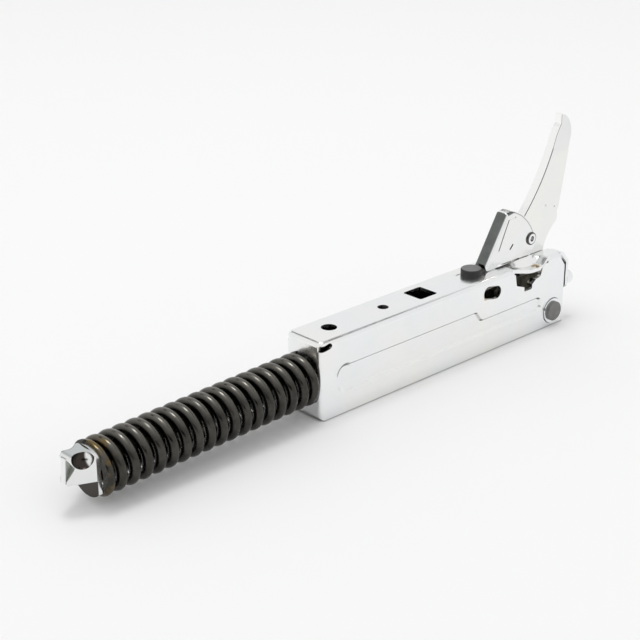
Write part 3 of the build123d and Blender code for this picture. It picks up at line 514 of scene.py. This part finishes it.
# %% Pin and rubber
RING_STEP = 0.32 * MM
PIN_STEEL = ((0.15, 0.15, 0.155), (0.24, 0.235, 0.22))
RUBBER_BLACK = (0.016, 0.016, 0.016)
RUBBER_DUST_AND_SHEEN = (0.168, 0.168, 0.168)


def turned_pin_finish():
    """Dark steel with rings around the pin's middle."""
    finish = PlacedFinish("turned_steel_pin")
    rings = finish.calc("SINE", finish.times(finish.from_axle(PIVOT), 2 * math.pi / RING_STEP))
    colour = finish.mix(finish.noise(300, 3), *PIN_STEEL)
    finish.bump(rings, 0.02 * MM)
    return finish.finish(colour, finish.between(finish.noise(500, 3), 0.3, 0.7, 0.30, 0.48))


def rubber_finish():
    """Black rubber with uneven dust and a painted sheen on what faces up."""
    finish = PlacedFinish("black_rubber", metal=0.0)
    top = finish.between(finish.faces(2), 0.80, 0.98)
    # Dust and painted sheen on what faces up.
    dust_and_sheen = finish.times(top, finish.between(finish.noise(700, 4), 0.2, 0.8, 0.75, 1.0))
    colour = finish.mix(dust_and_sheen, RUBBER_BLACK, RUBBER_DUST_AND_SHEEN)
    finish.bump(finish.noise(2600, 3), 0.06 * MM)
    return finish.finish(colour, finish.between(finish.noise(800, 2), 0.3, 0.7, 0.45, 0.65))


dress("pivot_pin", turned_pin_finish())
dress("rubber_bumper", rubber_finish())
print("pin and rubber finished")

# %% [markdown]
# ## Plain steel and bronze inside
# The fork, its spacers and the drive pin are plain steel under oil, seen only through the holes. The fork's
# rivet ends are bright, and the arm's bush is bearing bronze. They differ in colour alone, so one function
# with two colours makes all of them.

# %% Fork, rivets and bush
def oiled_steel(name, dark, light):
    """Patchy metal under a film of oil."""
    finish = PlacedFinish(name)
    colour = finish.mix(finish.between(finish.noise(190, 4), 0.3, 0.7), dark, light)
    finish.bump(finish.noise(1200, 3), 0.03 * MM)
    return finish.finish(colour, finish.between(finish.noise(240, 3), 0.3, 0.7, 0.22, 0.44))


fork_steel = oiled_steel("oiled_fork_steel", dark=(0.20, 0.19, 0.17), light=(0.36, 0.35, 0.31))
fork_parts = ("fork_plate_near", "fork_plate_far", "fork_spacers", "drive_pin")
for name in fork_parts:
    dress(name, fork_steel)
dress("fork_rivets", oiled_steel("bright_rivet_steel", dark=(0.55, 0.54, 0.50), light=(0.80, 0.79, 0.74)))
dress("arm_bush", oiled_steel("bearing_bronze", dark=(0.42, 0.27, 0.10), light=(0.62, 0.44, 0.20)))
print("oiled steel on", len(fork_parts), "fork parts, bright steel on the rivets, bronze on the bush")

# %% [markdown]
# ## The rod and the cap on its end
# The rod's head shows in the cap's nose as grey steel with a bright end. Behind the cap the rod is black with
# oil. The cap is zinc-plated, with painted shade on its roof, in the two ball-shaped scoops and on its flange.
# The scoop that the photo shows is bright beside the coil, so the painted shade stops a little short of it
# there. The far scoop isn't seen in the photo and is made alike.

# %% Rod and cap
OIL_BLACK = (0.022, 0.020, 0.017)
ROD_GREY = ((0.36, 0.38, 0.35), (0.46, 0.47, 0.43))
ROD_END = (0.86, 0.87, 0.86)
CAP_BODY = (0.70, 0.71, 0.71)
CAP_ROOF_PAINTED_SHADE = (0.54, 0.57, 0.57)
CAP_PAINTED_SHADE = (0.045, 0.038, 0.034)
SCOOP_RADIUS = 5 * MM
scoops = [place(-123.42, side * 7.23, 24.28) for side in (-1, 1)]


def rod_finish():
    """Grey steel at the head, black oil where the coil wraps the rod."""
    finish = PlacedFinish("oiled_rod")
    bare = finish.between(finish.x, along(-117.5), along(-121.5))
    colour = finish.mix(bare, OIL_BLACK, finish.mix(finish.noise(300, 3), *ROD_GREY))
    colour = finish.mix(finish.between(finish.faces(0), -0.6, -0.8), colour, ROD_END)
    finish.bump(finish.noise(900, 3), 0.03 * MM)
    return finish.finish(colour, finish.between(finish.noise(240, 3), 0.3, 0.7, 0.28, 0.45))


def cap_finish():
    """Zinc cap with painted shade on its roof, in its scoops and on its flange."""
    finish = PlacedFinish("zinc_cap")
    colour, rough, scratch = zinc_colour(finish)
    in_scoop = finish.strongest(*(finish.hollow(middle, SCOOP_RADIUS) for middle in scoops))
    # The near scoop catches light beside the coil, so the painted shade stops short there.
    lit_edge = finish.between(finish.x, along(-120.7), along(-119.8))
    in_scoop = finish.calc("SUBTRACT", in_scoop, lit_edge, clamp=True)
    colour = finish.mix(0.45, colour, CAP_BODY)
    # Painted shade on the roof, where it faces up.
    colour = finish.mix(finish.between(finish.faces(2), 0.8, 0.95), colour, CAP_ROOF_PAINTED_SHADE)
    endways = finish.between(finish.calc("ABSOLUTE", finish.faces(0)), 0.5, 0.8)
    on_flange = finish.times(finish.between(finish.x, along(-118.6), along(-117.9)), endways)
    # Painted shade in the scoops and on the flange.
    colour = finish.mix(finish.strongest(in_scoop, on_flange), colour, CAP_PAINTED_SHADE)
    finish.bump(scratch, SCRATCH_DEPTH)
    return finish.finish(colour, rough)


dress("pull_rod", rod_finish())
dress("spring_cap", cap_finish())
print("rod and cap finished, with", len(scoops), "scoops")

# %% [markdown]
# ## A helper for rules
# Geometry Nodes work out a shape from numbers, much as a finish is worked out from noise. This small class
# makes a tree, gives it named inputs, and adds nodes with their links in one call.

# %% A tree of Geometry Nodes
class Rule:
    """A Geometry Nodes tree with short names for sums."""

    def __init__(self, name):
        self.tree = bpy.data.node_groups.new(name, "GeometryNodeTree")
        self.tree.interface.new_socket(name="Geometry", in_out="OUTPUT", socket_type="NodeSocketGeometry")
        self.given = self.tree.nodes.new("NodeGroupInput")
        self.result = self.tree.nodes.new("NodeGroupOutput")

    def ask(self, name, kind="NodeSocketFloat", default=None):
        """A named input of the tree."""
        socket = self.tree.interface.new_socket(name=name, in_out="INPUT", socket_type=kind)
        if default is not None:
            socket.default_value = default
        return self.given.outputs[name]

    def add(self, kind, links=None, **settings):
        """A node with its settings, and its inputs as links or plain values."""
        node = self.tree.nodes.new(kind)
        for key, value in settings.items():
            setattr(node, key, value)
        for key, value in (links or {}).items():
            if isinstance(value, bpy.types.NodeSocket):
                self.tree.links.new(value, node.inputs[key])
            else:
                node.inputs[key].default_value = value
        return node

    def calc(self, operation, a, b=0.0):
        """One sum of two numbers or sockets."""
        return self.add("ShaderNodeMath", {0: a, 1: b}, operation=operation).outputs[0]


print("rule helper is ready")

# %% [markdown]
# ## The coil's middle line
# A compression spring is one wire wound at a steady pitch, with a closer turn at each end. It could be a curve
# with its points typed in, but every point follows from its turn number: the angle from the turn, and the
# place along the axis from the pitch. Geometry Nodes set a row of points by exactly that. The turn number is
# kept on each point, because the finish needs it later.

# %% Points of the winding
COIL_RIGHT_FACE = -0.2
COIL_LEFT_FACE = -115.9
COIL_AXIS_HEIGHT = 18.35
POINTS_PER_TURN = 56


def coil_run(rule, turn, turns, first, span, end_pitch):
    """Place along the axis for each turn number: one closer turn at each end, an even pitch between."""
    body_turns = rule.calc("SUBTRACT", turns, 2)
    body_span = rule.calc("SUBTRACT", span, rule.calc("MULTIPLY", end_pitch, 2))
    body_pitch = rule.calc("DIVIDE", body_span, body_turns)
    first_turn = rule.calc("MINIMUM", turn, 1)
    later = rule.calc("MAXIMUM", rule.calc("SUBTRACT", turn, 1), 0)
    body_turn = rule.calc("MINIMUM", later, body_turns)
    last_turn = rule.calc("SUBTRACT", later, body_turn)
    ends = rule.calc("MULTIPLY", rule.calc("ADD", first_turn, last_turn), end_pitch)
    run = rule.calc("ADD", ends, rule.calc("MULTIPLY", body_turn, body_pitch))
    return rule.calc("SUBTRACT", first, run)


def coil_line(rule, turns, wire, radius, right, left, height):
    """The wire's middle line as points that know their turn number."""
    ground = rule.ask("Ground off", default=3.4)
    end_pitch = rule.ask("End pitch", default=5.4)
    start = rule.ask("Start angle", default=math.radians(70))
    slope = rule.ask("Axis slope", default=0.026)
    count = rule.calc("ROUND", rule.calc("MULTIPLY", turns, POINTS_PER_TURN))
    line = rule.add("GeometryNodeMeshLine", {"Count": rule.calc("ADD", count, 1)})
    index = rule.add("GeometryNodeInputIndex").outputs[0]
    turn = rule.calc("MULTIPLY", rule.calc("DIVIDE", index, count), turns)

    inset = rule.calc("SUBTRACT", rule.calc("MULTIPLY", wire, 0.5), ground)
    first = rule.calc("SUBTRACT", right, inset)
    span = rule.calc("SUBTRACT", first, rule.calc("ADD", left, inset))
    run = coil_run(rule, turn, turns, first, span, end_pitch)
    angle = rule.calc("SUBTRACT", start, rule.calc("MULTIPLY", turn, 2 * math.pi))
    across = rule.calc("MULTIPLY", rule.calc("COSINE", angle), radius)
    up = rule.calc("MULTIPLY", rule.calc("SINE", angle), radius)
    axis_z = rule.calc("ADD", height, rule.calc("MULTIPLY", slope, run))
    spot = rule.add("ShaderNodeCombineXYZ", {0: run, 1: across, 2: rule.calc("ADD", axis_z, up)})
    placed = rule.add("GeometryNodeSetPosition", {"Geometry": line.outputs[0], "Position": spot.outputs[0]})
    return rule.add(
        "GeometryNodeStoreNamedAttribute",
        {"Geometry": placed.outputs[0], "Name": "turn", "Value": turn},
        data_type="FLOAT",
        domain="POINT",
    ).outputs[0]


print("the coil is", round(COIL_RIGHT_FACE - COIL_LEFT_FACE, 2), "mm long,", POINTS_PER_TURN, "points a turn")

# %% [markdown]
# ## Wire and ground ends
# A circle swept along the line gives the round wire. As in the CAD model, the coil's two end faces are ground
# flat, which is usual for such springs. Two blocks take the place of the grinding wheel: what they cover is
# cut away from the wire. The wire is shaded smooth, but the sharp rim of the ground faces stays crisp.

# %% Sweep the wire and grind its ends
SHARP_FOLD = 0.7


def swept_wire(rule, line, wire):
    """Round wire along the middle line."""
    path = rule.add("GeometryNodeMeshToCurve", {"Mesh": line})
    half = rule.calc("MULTIPLY", wire, 0.5)
    circle = rule.add("GeometryNodeCurvePrimitiveCircle", {"Resolution": 28, "Radius": half})
    swept = rule.add(
        "GeometryNodeCurveToMesh",
        {"Curve": path.outputs[0], "Profile Curve": circle.outputs[0], "Fill Caps": True},
    )
    smooth = rule.add("GeometryNodeSetShadeSmooth", {"Geometry": swept.outputs[0], "Shade Smooth": True})
    return smooth.outputs[0]


def grinding_block(rule, face, side, wire, radius, height):
    """Block whose inner side lies on an end face of the coil."""
    thick = rule.calc("MULTIPLY", wire, 2)
    wide = rule.calc("MULTIPLY", radius, 6)
    size = rule.add("ShaderNodeCombineXYZ", {0: thick, 1: wide, 2: wide}).outputs[0]
    block = rule.add("GeometryNodeMeshCube", {"Size": size})
    middle = rule.calc("ADD", face, rule.calc("MULTIPLY", wire, side))
    spot = rule.add("ShaderNodeCombineXYZ", {0: middle, 2: height}).outputs[0]
    moved = rule.add("GeometryNodeTransform", {"Geometry": block.outputs[0], "Translation": spot})
    return moved.outputs[0]


def ground_flat(rule, wire_mesh, blocks):
    """The wire without what the blocks take away, with crisp rims."""
    cut = rule.add("GeometryNodeMeshBoolean", operation="DIFFERENCE", solver="EXACT")
    rule.tree.links.new(wire_mesh, cut.inputs["Mesh 1"])
    for block in blocks:
        rule.tree.links.new(block, cut.inputs["Mesh 2"])
    fold = rule.add("GeometryNodeInputMeshEdgeAngle").outputs["Unsigned Angle"]
    sharp = rule.calc("GREATER_THAN", fold, SHARP_FOLD)
    return rule.add(
        "GeometryNodeSetShadeSmooth",
        {"Geometry": cut.outputs["Mesh"], "Selection": sharp, "Shade Smooth": False},
        domain="EDGE",
    ).outputs[0]


def coil_rule():
    """Coil along X in millimetres, measured from the channel's closed end."""
    rule = Rule("wound_spring")
    turns = rule.ask("Turns", default=18.23)
    wire = rule.ask("Wire", default=4.8)
    radius = rule.ask("Coil radius", default=10.2)
    right = rule.ask("Right face", default=COIL_RIGHT_FACE)
    left = rule.ask("Left face", default=COIL_LEFT_FACE)
    height = rule.ask("Axis height", default=COIL_AXIS_HEIGHT)
    shift = rule.ask("Place", "NodeSocketVector")
    steel = rule.ask("Steel", "NodeSocketMaterial")
    wire_mesh = swept_wire(rule, coil_line(rule, turns, wire, radius, right, left, height), wire)
    ends = ((right, 1), (left, -1))
    blocks = [grinding_block(rule, face, side, wire, radius, height) for face, side in ends]
    ground = ground_flat(rule, wire_mesh, blocks)
    to_metres = {"Geometry": ground, "Translation": shift, "Scale": (MM, MM, MM)}
    sized = rule.add("GeometryNodeTransform", to_metres)
    real = rule.add("GeometryNodeRealizeInstances", {"Geometry": sized.outputs[0]})
    finished = rule.add("GeometryNodeSetMaterial", {"Geometry": real.outputs[0], "Material": steel})
    rule.tree.links.new(finished.outputs[0], rule.result.inputs[0])
    return rule.tree


wound_spring = coil_rule()
print("coil rule has", len(wound_spring.nodes), "nodes")

# %% [markdown]
# ## Spring steel
# The wire is oil-blackened: nearly black and glossy, with a painted highlight where it faces up, and
# brown-gold grease on the last turns by the cap. The tree kept each point's turn number, so the finish can
# tell the greasy turns from the others, and a dab of grease lies at one spot beside the cap.

# %% Oil-blackened wire
WIRE_BLACK = ((0.042, 0.040, 0.036), (0.074, 0.070, 0.062))
WIRE_CREST_HIGHLIGHT = (0.170, 0.163, 0.145)
TURN_GREASE = (0.13, 0.095, 0.045)
DAB_GREASE = (0.16, 0.115, 0.045)


def spring_finish():
    """Black wire with a painted highlight on its crests and grease near the cap."""
    finish = PlacedFinish("oiled_spring_steel")
    number = finish.tree.nodes.new("ShaderNodeAttribute")
    number.attribute_name = "turn"
    colour = finish.mix(finish.between(finish.noise(160, 4), 0.3, 0.7), *WIRE_BLACK)
    # Painted highlight on what faces up.
    crest_highlight = finish.times(finish.between(finish.faces(2), 0.45, 0.90), 0.7)
    colour = finish.mix(crest_highlight, colour, WIRE_CREST_HIGHLIGHT)
    greasy_turns = finish.between(number.outputs["Fac"], 16.4, 17.9)
    patch = finish.times(greasy_turns, finish.between(finish.noise(190, 3), 0.40, 0.66))
    colour = finish.mix(patch, colour, TURN_GREASE)
    uneven = finish.between(finish.noise(380, 3), 0.35, 0.65, 0.25, 1.0)
    dab = finish.times(finish.near(place(-115.0, -3.0, 26.4), 6.5 * MM), uneven)
    colour = finish.mix(dab, colour, DAB_GREASE)
    finish.bump(finish.noise(420, 3), 0.05 * MM)
    return finish.finish(colour, finish.between(finish.noise(230, 4), 0.3, 0.7, 0.18, 0.32))


coil_steel = spring_finish()
print("spring steel has", len(coil_steel.node_tree.nodes), "nodes")

# %% [markdown]
# ## The coil becomes a plain mesh
# A modifier can stay live, but the export and the poses need a plain mesh. So the tree is run once on an empty
# holder, and its result is kept.

# %% Run the rule and join the coil to the hinge
def run_rule(name, tree, **values):
    """Evaluate a tree once and keep the result as a plain mesh object."""
    holder = bpy.data.objects.new(name + "_holder", bpy.data.meshes.new(name + "_holder"))
    bpy.context.scene.collection.objects.link(holder)
    modifier = holder.modifiers.new("rule", "NODES")
    modifier.node_group = tree
    inputs = [item for item in tree.interface.items_tree if item.in_out == "INPUT"]
    sockets = {item.name: item.identifier for item in inputs}
    for key, value in values.items():
        modifier[sockets[key.replace("_", " ").capitalize()]] = value
    graph = bpy.context.evaluated_depsgraph_get()
    mesh = bpy.data.meshes.new_from_object(holder.evaluated_get(graph))
    bpy.data.objects.remove(holder)
    piece = bpy.data.objects.new(name, mesh)
    bpy.context.scene.collection.objects.link(piece)
    return piece


coil = run_rule("coil_spring", wound_spring, place=place(0, 0, 0), steel=coil_steel)
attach(coil, "channel")
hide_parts("spring")
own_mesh(coil)
low = [min(v.co[i] for v in coil.data.vertices) for i in range(3)]
print("coil:", len(coil.data.polygons), "faces, from", [round(v, 4) for v in low])

# %% [markdown]
# ## Floor and panels
# The hinge lies on a wide white floor. Zinc is nearly a mirror, so it shows whatever stands around it. The
# photo has thin dark lines on the web's bends. They could be painted on, but two narrow dark bands, like the
# seams of a light tent, give them as reflections. A third band behind the camera darkens small edges of the
# cap and the pin, and changes hardly anything else. Each band is part of a cylinder round the hinge, set by
# the compass angle and the height at which the metal sees it. They are stage pieces, not part of the hinge.

# %% Floor, tent seams and dark room
FLOOR_DROP = 0.2 * MM
FLOOR_HALF = 4.0
MATT = 0.9


def add_stage_mesh(name, corners, faces, material_name, shade):
    """Plain matt mesh that belongs to the stage."""
    mesh = bpy.data.meshes.new(name)
    mesh.from_pydata(corners, [], faces)
    piece = bpy.data.objects.new(name, mesh)
    bpy.context.scene.collection.objects.link(piece)
    material = bpy.data.materials.new(material_name)
    material.use_nodes = True
    shader = material.node_tree.nodes["Principled BSDF"]
    shader.inputs["Base Color"].default_value = (shade, shade, shade, 1)
    shader.inputs["Roughness"].default_value = MATT
    mesh.materials.append(material)


def add_floor():
    """White floor, a hair under the hinge."""
    around = ((-1, -1), (1, -1), (1, 1), (-1, 1))
    corners = [(x * FLOOR_HALF, y * FLOOR_HALF, -FLOOR_DROP) for x, y in around]
    add_stage_mesh("white_sweep", corners, [(0, 1, 2, 3)], "white_paper", 0.90)


def add_panel(name, turns, rises, far, shade, steps=24):
    """Band of a cylinder around the hinge, between two compass angles and two heights in degrees."""
    corners = []
    for step in range(steps + 1):
        turn = math.radians(turns[0] + (turns[1] - turns[0]) * step / steps)
        for rise in rises:
            corners.append((far * math.cos(turn), far * math.sin(turn), far * math.tan(math.radians(rise))))
    faces = [(i, i + 2, i + 3, i + 1) for i in range(0, 2 * steps, 2)]
    add_stage_mesh(name, corners, faces, name + "_cloth", shade)


add_floor()
add_panel("tent_seam_front", turns=(-45, 35), rises=(46.5, 54), far=1.6, shade=0.10)
add_panel("tent_seam_back", turns=(75, 115), rises=(44, 54), far=1.6, shade=0.10)
add_panel("dark_room", turns=(200, 252), rises=(1, 17), far=1.3, shade=0.03)
print("floor, two tent seams and the dark room are in")

# %% [markdown]
# ## Light
# The photo has soft grey shadows and no hard edges. An even white surround gives most of the light, and one
# square softbox overhead deepens the shadow under the coil. A single lamp without the surround would leave the
# zinc nearly black, because there would be nothing bright for it to reflect.

# %% Surround and softbox
def add_surround(level):
    """Even white light from all around."""
    world = bpy.data.worlds.new("light_tent")
    world.use_nodes = True
    world.node_tree.nodes["Background"].inputs["Color"].default_value = (1, 1, 1, 1)
    world.node_tree.nodes["Background"].inputs["Strength"].default_value = level
    bpy.context.scene.world = world


def add_lamp(name, spot, aim, side, watts):
    """Square soft lamp at a spot of the frame."""
    lamp = bpy.data.objects.new(name, bpy.data.lights.new(name, "AREA"))
    lamp.data.size = side
    lamp.data.energy = watts
    lamp.location = spot
    lamp.rotation_euler = (Vector(aim) - Vector(spot)).to_track_quat("-Z", "Y").to_euler()
    bpy.context.scene.collection.objects.link(lamp)


add_surround(level=0.90)
add_lamp("top_softbox", spot=(0.05, 0.20, 1.9), aim=(0, 0, 0), side=0.55, watts=7.8)
bpy.context.scene.view_settings.view_transform = "Standard"
print("surround and softbox are in")
